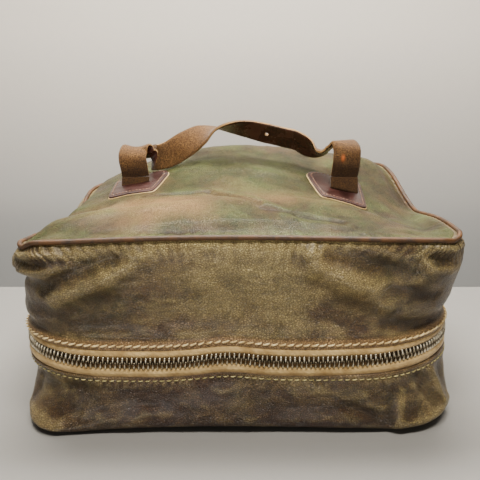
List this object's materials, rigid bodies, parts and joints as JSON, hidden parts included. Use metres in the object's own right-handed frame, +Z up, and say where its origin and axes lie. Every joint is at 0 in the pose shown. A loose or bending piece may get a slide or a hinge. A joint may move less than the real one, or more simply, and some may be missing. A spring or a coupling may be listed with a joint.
{
  "type": "ski boot bag",
  "caption": "Soft rectangular leather boot bag: shallow tray and taller lid closed by a heavy metal zip round three sides, with a flat carrying strap on top.",
  "frame": {"origin": "centre of the underside of the base, on the surface that the bag stands on", "axes": "+X to the right along the bag's length as seen from the front, +Y to the back where the lid folds, +Z up"},
  "size_m": [0.415, 0.306, 0.2677],
  "materials": {
    "wall_leather": "washed, mottled olive and brown, semi-gloss",
    "panel_leather": "washed sage green clouded with brown, semi-gloss",
    "base_leather": "washed dark olive, satin",
    "piping_leather": "tan edge piping, satin",
    "patch_leather": "dark reddish brown, semi-gloss",
    "strap_leather": "brown, rough flesh side out and glossy grain side in",
    "zip_tape": "tan cotton tape",
    "zip_metal": "aged nickel teeth and slider",
    "lining_cloth": "cotton twill",
    "stiffener": "pressed fibreboard"
  },
  "bodies": {
    "tray": {"base_panel": "base_leather", "base_board": "stiffener", "base_piping": "piping_leather", "lower_front_wall": "wall_leather", "lower_back_wall": "wall_leather", "tray_lining": "lining_cloth", "lower_zip_tape": "zip_tape", "lower_zip_chain": "zip_metal", "zip_end_tab_left": "wall_leather", "zip_end_tab_right": "wall_leather"},
    "lid": {"top_panel": "panel_leather", "top_piping": "piping_leather", "upper_front_wall": "wall_leather", "upper_back_wall": "wall_leather", "lid_lining": "lining_cloth", "upper_zip_tape": "zip_tape", "upper_zip_chain": "zip_metal", "handle_patch_left": "patch_leather", "handle_patch_right": "patch_leather", "handle_end_left": "strap_leather", "handle_end_right": "strap_leather"},
    "zip_slider": {"slider_body": "zip_metal", "slider_back_plate": "zip_metal"},
    "zip_pull": {"slider_pull": "zip_metal"},
    "handle": {"handle_strap": "strap_leather"}
  },
  "joints": [
    {"name": "lid_hinge", "type": "hinge", "parent": "tray", "child": "lid", "pos_m": [0, 0.151, 0.0705], "axis": [-1, 0, 0], "range_deg": [0, 95]},
    {"name": "zip_slider_travel", "type": "slide", "parent": "tray", "child": "zip_slider", "axis": [0, -1, 0], "range_m": [0, 0.125]},
    {"name": "pull_swing", "type": "hinge", "parent": "zip_slider", "child": "zip_pull", "pos_m": [0.2064, 0.062, 0.0705], "axis": [0, -1, 0], "range_deg": [0, 170]},
    {"name": "handle_swing", "type": "hinge", "parent": "lid", "child": "handle", "pos_m": [0, -0.025, 0.214], "axis": [1, 0, 0], "range_deg": [-8, 75]}
  ]
}
